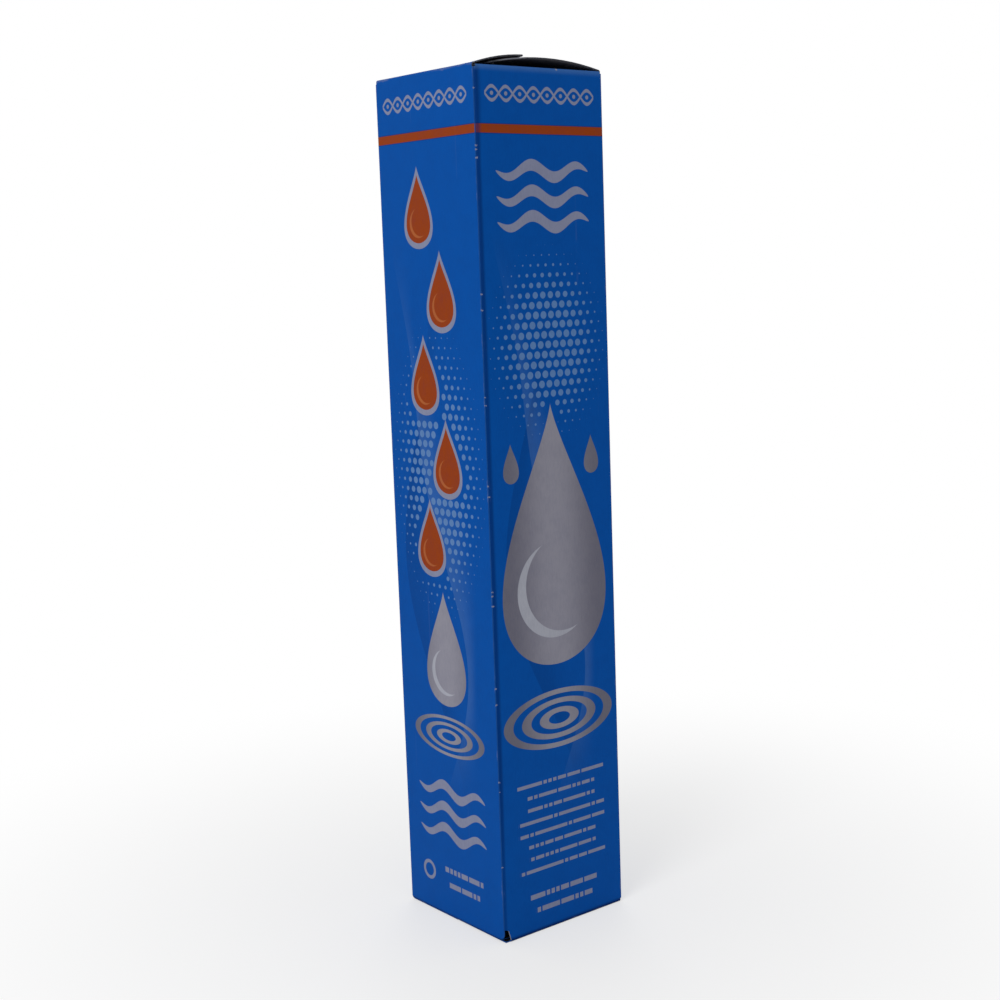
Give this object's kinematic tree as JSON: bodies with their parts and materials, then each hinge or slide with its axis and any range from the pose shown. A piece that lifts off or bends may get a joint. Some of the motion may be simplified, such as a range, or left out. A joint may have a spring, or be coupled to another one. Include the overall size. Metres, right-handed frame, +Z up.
{
  "type": "carton of paper cone cups",
  "caption": "Tall square paperboard carton, a sealed pack of nested paper cone cups: glued corner seam, bowed top flaps glued shut, blue coated print with an orange band",
  "frame": {"origin": "centre of the base, on the surface that the carton stands on", "axes": "+Z up along the carton, -Y out of the front panel, -X out of the left panel"},
  "size_m": [0.08, 0.08, 0.434],
  "materials": {
    "printed_board": "coated print, semi-gloss"
  },
  "bodies": {
    "root": {"carton": "printed_board"}
  },
  "joints": []
}
